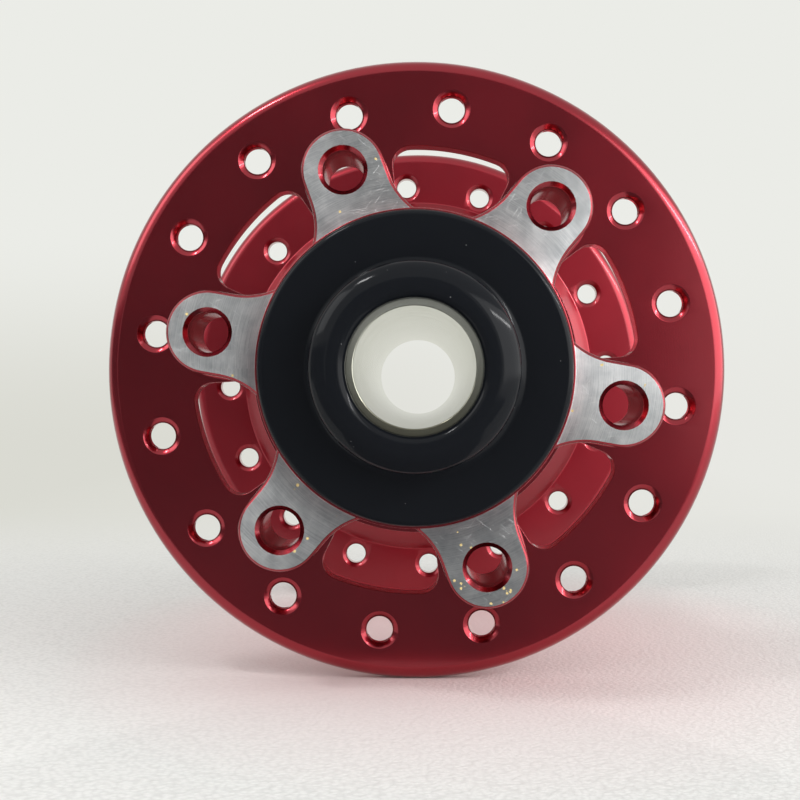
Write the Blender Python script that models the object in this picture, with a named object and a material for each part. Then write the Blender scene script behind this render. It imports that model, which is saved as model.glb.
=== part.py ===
"""Front bicycle hub for a six-bolt disc brake: a shell that turns on two cartridge bearings,
on a hollow axle whose two push-on end caps stand between the fork's ends.

The axle lies along Y through the origin, which is half way between the two end faces.
The disc side faces -Y, and +Z is up. Angles are measured in the XZ plane from +X towards +Z.
"""

import math

import bmesh
import bpy
from mathutils import Matrix

MM = 0.001
GAP = 0.3 * MM  # clearance left between pieces that touch
CUT_OVER = 0.5 * MM  # how far a hole's cutter stands out of the wall it cuts

# Along the axle
OVER_ENDS = 100 * MM  # end face to end face, the gap in the fork
ROTOR_INSET = 10.5 * MM  # disc side end face to the rotor's mounting face
TAB_HEIGHT = 9 * MM  # rotor face to the disc side flange
FLANGE_THICKNESS = 3 * MM
PLAIN_FLANGE_INSET = 14.3 * MM  # plain side end face to that flange's outer face
PILOT_RISE = 2 * MM  # how far the shell's end stands beyond the rotor face

# Spoke flanges
SPOKE_CIRCLE = 58 * MM
SPOKES_PER_FLANGE = 16
SPOKE_HOLE = 2.86 * MM
SPOKE_SINK = 4.1 * MM  # mouth of the countersink
SPOKE_SINK_DEPTH = 0.5 * MM
RIM_MARGIN = 5.2 * MM  # spoke circle to the flange's edge
RIM_ROUND = 1.3 * MM
DISC_SPOKE_ANGLE = 14.6  # degrees, the first hole of the disc side flange

# Rotor mount
BOLT_CIRCLE = 44 * MM
BOLTS = 6
BOLT_HOLE = 4.3 * MM  # across the crests of an M5 thread
BOLT_SINK = 5.2 * MM
BOLT_ANGLE = -10  # degrees, the first tab
TAB_ROUND = 4.4 * MM  # end radius of a tab, about its hole
TAB_NECK = 2 * MM  # straight sides, inwards from the hole
TAB_FLARE = 7.7 * MM  # radius of the hollow sides that spread to the pilot
TAB_FOOT = 1 * MM  # how deep the tabs run into the flange
PILOT_WALL = 1.2 * MM

# Windows of the disc side flange, one between each two tabs
WINDOW_HALF_ANGLE = 16.4  # degrees
WINDOW_MARGIN = 2.25 * MM  # window to the spoke holes' countersinks
WINDOW_ROOT = 1.4 * MM  # window to the pilot's radius
WINDOW_CORNER = 2 * MM

# Barrel
BARREL_WALL = 3 * MM
BARREL_ROOM = 2.2 * MM  # air between the axle's shoulder and the barrel
BARREL_FILLET = 2.5 * MM  # barrel to the disc side flange
FLARE_ANGLE = 45  # degrees, the cone that carries the plain side flange
FLARE_FILLET = 6 * MM  # barrel to that cone
FLARE_MARGIN = 0.35 * MM  # the cone's edge to the countersinks
PILOT_ROOT = 1 * MM  # fillet at the foot of each pilot
PILOT_CHAMFER = 0.2 * MM
SEAT_STEP = 1.7 * MM  # shoulder behind each bearing seat

# Bearings, two the same
BEARING_BORE = 17 * MM
BEARING_OUTER = 30 * MM
BEARING_WIDTH = 7 * MM
BEARING_INSET = 1.8 * MM  # below the shell's end
RACE_LIP = 1.35 * MM  # pitch circle to a race's shoulder
BALL = 3.5 * MM
BALLS = 12
SEAL_THICKNESS = 0.5 * MM
CAGE_THICKNESS = 1.6 * MM
CAGE_FRONT = 1 * MM  # how far the cage's fingers pass the balls' centres

# Axle and end caps
THROUGH_BORE = 12.1 * MM
SHOULDER_RISE = 1.8 * MM
STUB_STEP = 0.7 * MM  # the axle's ends are this much smaller than its bearing seats
LIP_DEPTH = 1.4 * MM
O_RING = 1.2 * MM  # cord of the O-ring
O_RING_INSET = 4.6 * MM  # from the end face
NOSE_WALL = 1.2 * MM
NOSE_ROUND = 1.8 * MM
LIP_ROUND = 0.9 * MM
CAP_DISC = 1.8 * MM
CAP_REVEAL = 0.38 * MM  # how far the pilot shows round the cap's disc
CAP_COLLAR_WALL = 1.8 * MM
CAP_EDGE = 0.6 * MM  # rounding of the disc's edge, and of the corner at the nose's foot
AXLE_CHAMFER = 0.3 * MM

# How finely the round shapes are cut
SHELL_STEPS = 48
RING_STEPS = 32
CORD_STEPS = 6  # round the O-ring's cord
TRACK_STEPS = 3
BALL_DETAIL = 2
HOLE_STEPS = 8
BOLT_STEPS = 12
TAB_STEPS = 8
WINDOW_STEPS = 4
CORNER_STEPS = 3
CORNER_ANGLE = 60  # degrees, above which a bend of a window's outline is a corner
FILLET_STEPS = 2
SHARP_ANGLE = 30  # degrees, above which an edge shows as a hard one

# Places that follow from the sizes above, each as a distance from the middle of the axle
HALF_WIDTH = OVER_ENDS / 2
ROTOR_FACE = HALF_WIDTH - ROTOR_INSET
SHELL_END = ROTOR_FACE + PILOT_RISE
DISC_FLANGE_OUTER = ROTOR_FACE - TAB_HEIGHT
DISC_FLANGE_INNER = DISC_FLANGE_OUTER - FLANGE_THICKNESS
PLAIN_FLANGE_OUTER = HALF_WIDTH - PLAIN_FLANGE_INSET
PLAIN_FLANGE_INNER = PLAIN_FLANGE_OUTER - FLANGE_THICKNESS
BEARING_OUTSIDE = SHELL_END - BEARING_INSET
BEARING_INSIDE = BEARING_OUTSIDE - BEARING_WIDTH
AXLE_END = HALF_WIDTH - LIP_DEPTH - GAP

# Radii that follow from the sizes above
SPOKE_RADIUS = SPOKE_CIRCLE / 2
FLANGE_RADIUS = SPOKE_RADIUS + RIM_MARGIN
SEAT_RADIUS = BEARING_OUTER / 2 + GAP
PILOT_RADIUS = SEAT_RADIUS + PILOT_WALL
WINDOW_INNER = PILOT_RADIUS + WINDOW_ROOT
WINDOW_OUTER = SPOKE_RADIUS - SPOKE_SINK / 2 - WINDOW_MARGIN
FLARE_RADIUS = SPOKE_RADIUS - SPOKE_SINK / 2 - FLARE_MARGIN
AXLE_SEAT_RADIUS = BEARING_BORE / 2 - GAP
STUB_RADIUS = AXLE_SEAT_RADIUS - STUB_STEP
BORE_RADIUS = THROUGH_BORE / 2
SHOULDER_RADIUS = AXLE_SEAT_RADIUS + SHOULDER_RISE
BARREL_BORE = SHOULDER_RADIUS + BARREL_ROOM
BARREL_RADIUS = BARREL_BORE + BARREL_WALL
CAP_BORE = STUB_RADIUS + GAP
NOSE_RADIUS = CAP_BORE + O_RING + GAP + NOSE_WALL
PITCH_RADIUS = (BEARING_BORE + BEARING_OUTER) / 4
BALL_RADIUS = BALL / 2
TRACK_RADIUS = BALL_RADIUS + GAP


def finish(name, colour, roughness, metallic):
    """A plain material of one colour."""
    material = bpy.data.materials.new(name)
    material.use_nodes = True
    shader = material.node_tree.nodes["Principled BSDF"]
    shader.inputs["Base Color"].default_value = (*colour, 1)
    shader.inputs["Roughness"].default_value = roughness
    shader.inputs["Metallic"].default_value = metallic
    return material


def arc(radius, y, size, start, end, steps):
    """Points of a profile on an arc round (radius, y), angles in degrees from outwards towards +Y."""
    turns = [math.radians(start + (end - start) * k / steps) for k in range(steps + 1)]
    return [(radius + size * math.cos(t), y + size * math.sin(t)) for t in turns]


def mirrored(profile, side):
    """The profile on the plain side (side = 1) or, turned over, on the disc side (side = -1)."""
    return [(radius, side * y) for radius, y in profile]


def turned_mesh(profile, steps, closed=True):
    """A bmesh turned about the Y axis from points (radius, y). An open profile ends on the axis."""
    shape = bmesh.new()
    points = [shape.verts.new((radius, y, 0)) for radius, y in profile]
    pairs = list(zip(points, points[1:]))
    if closed:
        pairs.append((points[-1], points[0]))
    edges = [shape.edges.new(pair) for pair in pairs]
    bmesh.ops.spin(
        shape,
        geom=points + edges,
        axis=(0, 1, 0),
        cent=(0, 0, 0),
        angle=math.tau,
        steps=steps,
        use_merge=True,
    )
    bmesh.ops.remove_doubles(shape, verts=shape.verts, dist=1e-7)
    bmesh.ops.recalc_face_normals(shape, faces=shape.faces)
    return shape


def place(name, shape, material):
    """Turns a bmesh into a named object, smooth but for its hard edges."""
    mesh = bpy.data.meshes.new(name)
    shape.to_mesh(mesh)
    shape.free()
    mesh.materials.append(material)
    mesh.shade_smooth()
    mesh.set_sharp_from_angle(angle=math.radians(SHARP_ANGLE))
    piece = bpy.data.objects.new(name, mesh)
    bpy.context.scene.collection.objects.link(piece)
    return piece


def helper(name, shape, material):
    """An object that only cuts or joins another."""
    piece = place(name, shape, material)
    piece.hide_render = True
    piece.display_type = "WIRE"
    return piece


def boolean(piece, tool, operation):
    modifier = piece.modifiers.new(tool.name, "BOOLEAN")
    modifier.object = tool
    modifier.operation = operation
    modifier.solver = "EXACT"


def around(shape, radius, count, first_angle):
    """Copies of a shape, joined in one bmesh, moved out to a circle round the Y axis and turned with it."""
    mesh = bpy.data.meshes.new("pattern")
    shape.to_mesh(mesh)
    shape.free()
    pattern = bmesh.new()
    for k in range(count):
        angle = math.radians(first_angle + 360 * k / count)
        known = len(pattern.verts)
        pattern.from_mesh(mesh)
        pattern.verts.ensure_lookup_table()
        bmesh.ops.transform(
            pattern,
            matrix=Matrix.Rotation(-angle, 4, "Y") @ Matrix.Translation((radius, 0, 0)),
            verts=pattern.verts[known:],
        )
    bpy.data.meshes.remove(mesh)
    return pattern


def prism(outline, y_low, y_high):
    """A bmesh of an outline of (x, z) points, extruded along Y."""
    shape = bmesh.new()
    base = shape.faces.new([shape.verts.new((x, y_low, z)) for x, z in outline])
    grown = bmesh.ops.extrude_face_region(shape, geom=[base])
    moved = [v for v in grown["geom"] if isinstance(v, bmesh.types.BMVert)]
    bmesh.ops.translate(shape, verts=moved, vec=(0, y_high - y_low, 0))
    bmesh.ops.recalc_face_normals(shape, faces=shape.faces)
    return shape


# Hub shell


def rim(y_low, y_high):
    """Profile round a flange's edge, from its lower face to its upper one."""
    middle = FLANGE_RADIUS - RIM_ROUND
    low = arc(middle, y_low + RIM_ROUND, RIM_ROUND, -90, 0, FILLET_STEPS)
    high = arc(middle, y_high - RIM_ROUND, RIM_ROUND, 0, 90, FILLET_STEPS)
    return low + high


def pilot(face):
    """Profile of a pilot on the plain side, from the flange's face to the mouth of the bearing's seat."""
    return [
        *arc(PILOT_RADIUS + PILOT_ROOT, face + PILOT_ROOT, PILOT_ROOT, 270, 180, FILLET_STEPS),
        (PILOT_RADIUS, SHELL_END - PILOT_CHAMFER),
        (PILOT_RADIUS - PILOT_CHAMFER, SHELL_END),
        (SEAT_RADIUS, SHELL_END),
    ]


def barrel():
    """Profile of the outside between the flanges, with the cone that carries the plain side flange."""
    start = -DISC_FLANGE_INNER + BARREL_FILLET
    slope = math.radians(FLARE_ANGLE)
    foot = PLAIN_FLANGE_INNER - (FLARE_RADIUS - BARREL_RADIUS) / math.tan(slope)
    bend = foot - FLARE_FILLET * math.tan(slope / 2)
    return [
        *arc(BARREL_RADIUS + BARREL_FILLET, start, BARREL_FILLET, 270, 180, FILLET_STEPS),
        *arc(BARREL_RADIUS + FLARE_FILLET, bend, FLARE_FILLET, 180, 180 - FLARE_ANGLE, FILLET_STEPS),
        (FLARE_RADIUS, PLAIN_FLANGE_INNER),
    ]


def seat_and_step():
    """Profile inside the plain side end, from the bearing's seat to the barrel's bore."""
    step_radius = SEAT_RADIUS - SEAT_STEP
    seat_bottom = BEARING_INSIDE - GAP
    return [
        (SEAT_RADIUS, seat_bottom),
        (step_radius, seat_bottom),
        (step_radius, seat_bottom - SEAT_STEP),
        (BARREL_BORE, seat_bottom - 2 * SEAT_STEP),
    ]


def shell_profile():
    """The shell's section, from the disc side end along the outside to the plain side, and back inside."""
    return [
        *mirrored(pilot(DISC_FLANGE_OUTER), -1)[::-1],
        *rim(-DISC_FLANGE_OUTER, -DISC_FLANGE_INNER),
        *barrel(),
        *rim(PLAIN_FLANGE_INNER, PLAIN_FLANGE_OUTER),
        *pilot(PLAIN_FLANGE_OUTER),
        *seat_and_step(),
        *mirrored(seat_and_step(), -1)[::-1],
    ]


def tab_outline():
    """One tab seen along the axle, pointing along +X, with its root buried in the pilot's wall."""
    hole = BOLT_CIRCLE / 2
    neck = hole - TAB_NECK
    buried = PILOT_RADIUS - PILOT_WALL / 2
    tip = arc(hole, 0, TAB_ROUND, -90, 90, TAB_STEPS)
    # The hollow side is an arc that starts at the neck and ends inside the wall, or where it comes nearest.
    flare_centre = TAB_ROUND + TAB_FLARE
    reach = math.hypot(neck, flare_centre)
    cosine = (reach**2 + TAB_FLARE**2 - buried**2) / (2 * reach * TAB_FLARE)
    sweep = math.degrees(math.atan2(neck, flare_centre) - math.acos(min(cosine, 1)))
    side = arc(neck, flare_centre, TAB_FLARE, -90, -90 - sweep, TAB_STEPS // 2)
    root_angle = math.degrees(math.atan2(side[-1][1], side[-1][0]))
    root = arc(0, 0, buried, root_angle, -root_angle, TAB_STEPS // 2)[1:-1]
    return tip + side + root + mirrored(side, -1)[::-1]


def window():
    """A bmesh that cuts one window, centred on +X: two arcs about the axle and two radial sides."""
    outer = arc(0, 0, WINDOW_OUTER, -WINDOW_HALF_ANGLE, WINDOW_HALF_ANGLE, WINDOW_STEPS)
    inner = arc(0, 0, WINDOW_INNER, WINDOW_HALF_ANGLE, -WINDOW_HALF_ANGLE, WINDOW_STEPS)
    shape = prism(outer + inner, -DISC_FLANGE_OUTER - PILOT_ROOT, -DISC_FLANGE_INNER + BARREL_FILLET)
    sides = [edge for edge in shape.edges if edge.verts[0].co.y != edge.verts[1].co.y]
    corners = [edge for edge in sides if edge.calc_face_angle() > math.radians(CORNER_ANGLE)]
    bmesh.ops.bevel(
        shape,
        geom=corners,
        offset=WINDOW_CORNER,
        offset_type="OFFSET",
        affect="EDGES",
        segments=CORNER_STEPS,
        profile=0.5,
        material=-1,
        clamp_overlap=True,
    )
    return shape


def hole_cutter(y_low, y_high, hole, sink, depth, both_ends, steps):
    """A pin along Y that cuts a hole from y_low to y_high, countersunk at y_low and perhaps at y_high."""
    below = y_low - CUT_OVER
    above = y_high + CUT_OVER
    sunk = (sink + (sink - hole) / depth * CUT_OVER) / 2
    start = [(sunk, below), (hole / 2, y_low + depth)]
    end = [(hole / 2, y_high - depth), (sunk, above)] if both_ends else [(hole / 2, above)]
    profile = [(0, below), *start, *end, (0, above)]
    return turned_mesh(profile, steps, closed=False)


def hub_shell(red):
    shell = place("hub_shell", turned_mesh(shell_profile(), SHELL_STEPS), red)
    tab = prism(tab_outline(), -ROTOR_FACE, -DISC_FLANGE_OUTER + TAB_FOOT)
    boolean(shell, helper("tabs", around(tab, 0, BOLTS, BOLT_ANGLE), red), "UNION")
    between_tabs = BOLT_ANGLE + 180 / BOLTS
    boolean(shell, helper("windows", around(window(), 0, BOLTS, between_tabs), red), "DIFFERENCE")
    bolt_sink_depth = (BOLT_SINK - BOLT_HOLE) / 2
    bolt = hole_cutter(
        -ROTOR_FACE, -DISC_FLANGE_INNER, BOLT_HOLE, BOLT_SINK, bolt_sink_depth, False, BOLT_STEPS
    )
    bolts = helper("bolt_holes", around(bolt, BOLT_CIRCLE / 2, BOLTS, BOLT_ANGLE), red)
    boolean(shell, bolts, "DIFFERENCE")
    half_pitch = 180 / SPOKES_PER_FLANGE
    for side_name, low, high, first_angle in (
        ("disc_side", -DISC_FLANGE_OUTER, -DISC_FLANGE_INNER, DISC_SPOKE_ANGLE),
        ("plain_side", PLAIN_FLANGE_INNER, PLAIN_FLANGE_OUTER, DISC_SPOKE_ANGLE - half_pitch),
    ):
        spoke = hole_cutter(low, high, SPOKE_HOLE, SPOKE_SINK, SPOKE_SINK_DEPTH, True, HOLE_STEPS)
        holes = around(spoke, SPOKE_RADIUS, SPOKES_PER_FLANGE, first_angle)
        boolean(shell, helper(side_name + "_spoke_holes", holes, red), "DIFFERENCE")


# Axle and end caps


def axle_tube(bare):
    chamfer = min(AXLE_CHAMFER, (STUB_RADIUS - BORE_RADIUS) / 2)
    half = [
        (SHOULDER_RADIUS, BEARING_INSIDE - GAP),
        (AXLE_SEAT_RADIUS, BEARING_INSIDE - GAP),
        (AXLE_SEAT_RADIUS, BEARING_OUTSIDE - 2 * GAP),
        (STUB_RADIUS, BEARING_OUTSIDE - 2 * GAP),
        (STUB_RADIUS, AXLE_END - chamfer),
        (STUB_RADIUS - chamfer, AXLE_END),
        (BORE_RADIUS, AXLE_END),
    ]
    place("axle_tube", turned_mesh(half + mirrored(half, -1)[::-1], RING_STEPS), bare)


def end_cap(side_name, side, black):
    """The cap: a disc over the shell's end, a nose that meets the fork, and a collar on the inner race."""
    lip = (BORE_RADIUS + STUB_RADIUS) / 2
    disc_radius = PILOT_RADIUS - CAP_REVEAL
    disc_back = SHELL_END + GAP
    disc_front = disc_back + CAP_DISC
    collar_end = BEARING_OUTSIDE + GAP
    collar = CAP_BORE + CAP_COLLAR_WALL
    groove = CAP_BORE + O_RING + GAP
    groove_front = HALF_WIDTH - O_RING_INSET + O_RING / 2 + GAP
    groove_back = HALF_WIDTH - O_RING_INSET - O_RING / 2 - GAP
    nose = NOSE_RADIUS - NOSE_ROUND
    profile = [
        (collar, collar_end),
        (collar, disc_back),
        (disc_radius, disc_back),
        *arc(disc_radius - CAP_EDGE, disc_front - CAP_EDGE, CAP_EDGE, 0, 90, FILLET_STEPS),
        (NOSE_RADIUS + CAP_EDGE, disc_front),
        (NOSE_RADIUS, disc_front + CAP_EDGE),
        *arc(nose, HALF_WIDTH - NOSE_ROUND, NOSE_ROUND, 0, 90, FILLET_STEPS),
        *arc(lip + LIP_ROUND, HALF_WIDTH - LIP_ROUND, LIP_ROUND, 90, 180, FILLET_STEPS),
        (lip, HALF_WIDTH - LIP_DEPTH),
        (CAP_BORE, HALF_WIDTH - LIP_DEPTH),
        (CAP_BORE, groove_front),
        (groove, groove_front),
        (groove, groove_back),
        (CAP_BORE, groove_back),
        (CAP_BORE, collar_end),
    ]
    place(side_name + "_end_cap", turned_mesh(mirrored(profile, side), RING_STEPS), black)


def cap_o_ring(side_name, side, rubber):
    middle = side * (HALF_WIDTH - O_RING_INSET)
    section = arc(STUB_RADIUS + GAP + O_RING / 2, middle, O_RING / 2, 0, 360, CORD_STEPS)[:-1]
    place(side_name + "_cap_o_ring", turned_mesh(section, RING_STEPS), rubber)


# Bearings


def race_section(wall_radius, direction):
    """A race with its ball track. direction is 1 for the inner race and -1 for the outer one."""
    half = BEARING_WIDTH / 2
    lip = PITCH_RADIUS - direction * RACE_LIP
    turn = math.degrees(math.acos(RACE_LIP / TRACK_RADIUS))
    start, end = (180 - turn, 180 + turn) if direction == 1 else (turn, -turn)
    track = arc(PITCH_RADIUS, 0, TRACK_RADIUS, start, end, TRACK_STEPS)
    return [(wall_radius, half), (lip, half), *track, (lip, -half), (wall_radius, -half)]


def ball_pocket():
    """A bmesh of a pin along X that cuts one ball's pocket through the cage."""
    shape = bmesh.new()
    bmesh.ops.create_cone(
        shape,
        cap_ends=True,
        segments=HOLE_STEPS,
        radius1=TRACK_RADIUS,
        radius2=TRACK_RADIUS,
        depth=2 * CAGE_THICKNESS,
        matrix=Matrix.Rotation(math.radians(90), 4, "Y"),
    )
    return shape


def bearing(side_name, side, steel, bright, nylon, rubber):
    """One cartridge bearing, centred on its own balls."""
    centre = side * (BEARING_OUTSIDE + BEARING_INSIDE) / 2
    name = side_name + "_bearing_"

    def put(part, section, material):
        moved = [(radius, y + centre) for radius, y in section]
        return place(name + part, turned_mesh(moved, RING_STEPS), material)

    put("inner_race", race_section(BEARING_BORE / 2, 1), steel)
    put("outer_race", race_section(BEARING_OUTER / 2, -1), steel)

    seal_outside = BEARING_WIDTH / 2 - GAP
    seal_inside = seal_outside - SEAL_THICKNESS
    seal_low = PITCH_RADIUS - RACE_LIP + GAP
    seal_high = PITCH_RADIUS + RACE_LIP - GAP
    seal = [
        (seal_low, seal_outside),
        (seal_high, seal_outside),
        (seal_high, seal_inside),
        (seal_low, seal_inside),
    ]
    put("outside_seal", mirrored(seal, side), rubber)
    put("inside_seal", mirrored(seal, -side), rubber)

    cage_low = PITCH_RADIUS - CAGE_THICKNESS / 2
    cage_high = PITCH_RADIUS + CAGE_THICKNESS / 2
    back = seal_inside - GAP
    ring = [(cage_low, back), (cage_high, back), (cage_high, -CAGE_FRONT), (cage_low, -CAGE_FRONT)]
    cage = put("cage", mirrored(ring, side), nylon)
    pockets = around(ball_pocket(), PITCH_RADIUS, BALLS, 0)
    bmesh.ops.translate(pockets, verts=pockets.verts, vec=(0, centre, 0))
    boolean(cage, helper(side_name + "_ball_pockets", pockets, nylon), "DIFFERENCE")

    for k in range(BALLS):
        angle = math.tau * k / BALLS
        ball = bmesh.new()
        bmesh.ops.create_icosphere(ball, subdivisions=BALL_DETAIL, radius=BALL_RADIUS)
        piece = place(f"{side_name}_ball_{k + 1:02d}", ball, bright)
        piece.location = (PITCH_RADIUS * math.cos(angle), centre, PITCH_RADIUS * math.sin(angle))


def main():
    for old in list(bpy.data.objects):
        bpy.data.objects.remove(old)
    red = finish("red anodised aluminium", (0.32, 0.012, 0.02), 0.3, 0.9)
    black = finish("black anodised aluminium", (0.012, 0.012, 0.014), 0.3, 0.2)
    bare = finish("bare turned aluminium", (0.6, 0.59, 0.56), 0.3, 1)
    steel = finish("ground bearing steel", (0.45, 0.45, 0.46), 0.3, 1)
    bright = finish("polished ball steel", (0.6, 0.6, 0.62), 0.1, 1)
    nylon = finish("nylon", (0.55, 0.5, 0.38), 0.5, 0)
    rubber = finish("black rubber", (0.02, 0.02, 0.02), 0.7, 0)
    hub_shell(red)
    axle_tube(bare)
    for side_name, side in (("disc_side", -1), ("plain_side", 1)):
        end_cap(side_name, side, black)
        cap_o_ring(side_name, side, rubber)
        bearing(side_name, side, steel, bright, nylon, rubber)


main()
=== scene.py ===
import math

import bmesh
import bpy
from mathutils import Matrix, Vector


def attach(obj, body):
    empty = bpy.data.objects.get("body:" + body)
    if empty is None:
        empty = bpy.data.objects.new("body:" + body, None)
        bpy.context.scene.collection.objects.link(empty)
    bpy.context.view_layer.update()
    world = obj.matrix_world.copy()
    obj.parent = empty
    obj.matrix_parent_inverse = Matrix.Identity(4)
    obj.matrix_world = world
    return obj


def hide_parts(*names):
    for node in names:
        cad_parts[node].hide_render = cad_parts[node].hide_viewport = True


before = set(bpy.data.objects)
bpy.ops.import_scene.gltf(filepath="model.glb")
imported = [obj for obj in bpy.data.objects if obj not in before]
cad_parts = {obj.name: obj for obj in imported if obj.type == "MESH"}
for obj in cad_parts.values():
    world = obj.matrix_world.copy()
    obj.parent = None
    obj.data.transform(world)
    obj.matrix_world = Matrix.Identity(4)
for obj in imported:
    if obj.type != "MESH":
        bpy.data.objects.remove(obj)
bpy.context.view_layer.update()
mm = 0.001
print("frame loaded,", len(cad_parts), "CAD nodes")


# The hub lies along Y and stands on its two flanges. Sizes are in millimetres, angles in degrees
# from +X towards +Z. Everything is turned or milled, so most shapes start as a section that spins.


def linear(hexColour):
    parts = [int(hexColour[k:k + 2], 16) / 255 for k in (1, 3, 5)]
    return [c / 12.92 if c <= 0.04045 else ((c + 0.055) / 1.055) ** 2.4 for c in parts] + [1]


def addNode(tree, kind, settings=None, links=None):
    node = tree.nodes.new("ShaderNode" + kind)
    for key, value in (settings or {}).items():
        if isinstance(key, int) or key in node.inputs:
            node.inputs[key].default_value = value
        else:
            setattr(node, key, value)
    for key, socket in (links or {}).items():
        tree.links.new(socket, node.inputs[key])
    return node


def startMaterial(name):
    material = bpy.data.materials.new(name)
    material.use_nodes = True
    tree = material.node_tree
    shader = tree.nodes["Principled BSDF"]
    place = addNode(tree, "TexCoord").outputs["Object"]
    return material, tree, shader, place


def ringScale(spacing):
    # the wave texture turns 20 radians a metre at scale 1
    return math.tau / (20 * spacing * mm)


# What several finishes share: the stretch in which nearly all of a noise lies, and the marks of a
# lathe tool, which are rings on faces and bands on round walls.
noiseStretch = {"From Min": 0.3, "From Max": 0.7}
ringMarks = {"wave_type": "RINGS", "rings_direction": "Y", "Detail": 2, "Detail Scale": 0.5}
bandMarks = {"wave_type": "BANDS", "bands_direction": "Y", "Detail": 2, "Detail Scale": 0.5}


# Red anodised aluminium: turned and milled, etched to a fine satin, dyed and sealed.
# The clear oxide over the dye gives a second, colourless gloss, so edges go pink in the light.
redAnodised = {
    "colour": "#a02532",
    "deeper": "#94202d",
    "roughness": (0.22, 0.27),
    "rougher": 0.15,  # added between the flanges, where the faces were left as turned
    "between": (-28.6, -27.8, 33, 33.8),  # places along the axle: it starts, is full, starts to go, is gone
    "coat": 0.75,
    "coatRoughness": 0.12,
    "coatIor": 1.5,
    "cloud": 9,  # patches of deeper dye
    "turning": 0.3,  # tool marks are finer than this, and would not show
    "turningDepth": 0.0006,
    "wander": 1.5,  # how far the marks stray from true rings
    "etch": 0.12,  # grain of the satin
    "etchDepth": 0.0008,
}


def makeRed(name, look):
    material, tree, shader, place = startMaterial(name)
    cloud = addNode(tree, "TexNoise", {"Scale": 1 / (look["cloud"] * mm), "Detail": 3}, {"Vector": place})
    dye = addNode(tree, "Mix", {"data_type": "RGBA", 6: linear(look["deeper"]), 7: linear(look["colour"])},
                  {0: cloud.outputs["Fac"]})
    rings = addNode(tree, "TexWave", {**ringMarks, "Scale": ringScale(look["turning"]),
                                      "Distortion": look["wander"]}, {"Vector": place})
    etch = addNode(tree, "TexNoise", {"Scale": 1 / (look["etch"] * mm), "Detail": 2}, {"Vector": place})
    satin = addNode(tree, "MapRange", {**noiseStretch, "To Min": look["roughness"][0],
                                       "To Max": look["roughness"][1]}, {"Value": cloud.outputs["Fac"]})
    turned = addNode(tree, "Bump", {"Strength": 1, "Distance": look["turningDepth"] * mm},
                     {"Height": rings.outputs["Fac"]})
    grain = addNode(tree, "Bump", {"Strength": 1, "Distance": look["etchDepth"] * mm},
                    {"Height": etch.outputs["Fac"], "Normal": turned.outputs["Normal"]})
    parts = addNode(tree, "SeparateXYZ", {}, {0: place})
    start, full, fading, gone = [along * mm for along in look["between"]]
    entered = addNode(tree, "MapRange", {"From Min": start, "From Max": full, "To Max": look["rougher"]},
                      {"Value": parts.outputs["Y"]})
    left = addNode(tree, "MapRange", {"From Min": fading, "From Max": gone}, {"Value": parts.outputs["Y"]})
    extra = addNode(tree, "Mix", {"data_type": "FLOAT", 3: 0},
                    {0: left.outputs["Result"], 2: entered.outputs["Result"]})
    rough = addNode(tree, "Math", {"operation": "ADD"}, {0: satin.outputs["Result"], 1: extra.outputs[0]})
    shader.inputs["Metallic"].default_value = 1
    shader.inputs["Coat Weight"].default_value = look["coat"]
    shader.inputs["Coat Roughness"].default_value = look["coatRoughness"]
    shader.inputs["Coat IOR"].default_value = look["coatIor"]
    tree.links.new(dye.outputs[2], shader.inputs["Base Color"])
    tree.links.new(rough.outputs["Value"], shader.inputs["Roughness"])
    tree.links.new(grain.outputs["Normal"], shader.inputs["Normal"])
    return material


# Bare aluminium, faced across the tabs after anodising: rings from the tool,
# a broad satin shine, and the fine straight scratches of handling.
facedAluminium = {
    "colour": "#eeefef",
    "darker": "#c0c3c5",
    "roughness": (0.32, 0.41),
    "grain": 0.88,  # the shine spreads across the tool's rings, so it fans out from the axle
    "tool": (0.1, 16),  # width of a tool mark across, and its length round, in mm and degrees
    "toolDepth": 0.009,
    "toolShare": 0.5,  # of the tone's unevenness, the rest being smudges
    "contrast": (0.36, 0.62),  # the unevenness that is all dark, and all bright
    "scratch": (0.07, 2.6),  # width and length
    "scratches": ((35, 0), (-52, 7), (80, 19)),  # angle, and a shift so that no two sets coincide
    "scratchCrest": (0.68, 0.74),  # only a noise's crests are this high, so they are few and thin
    "scratchDepth": 0.006,
    "smudge": 2.2,
    "chip": "#e0ca8c",  # specks of brass coloured dust, most of them low down
    "chipSpacing": 0.34,
    "chipSize": 0.55,  # share of that spacing
    "chipShare": (0.01, 0.2),  # share of places that hold one, high up and low down
    "chipHeights": (-16.5, -24),
}


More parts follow.
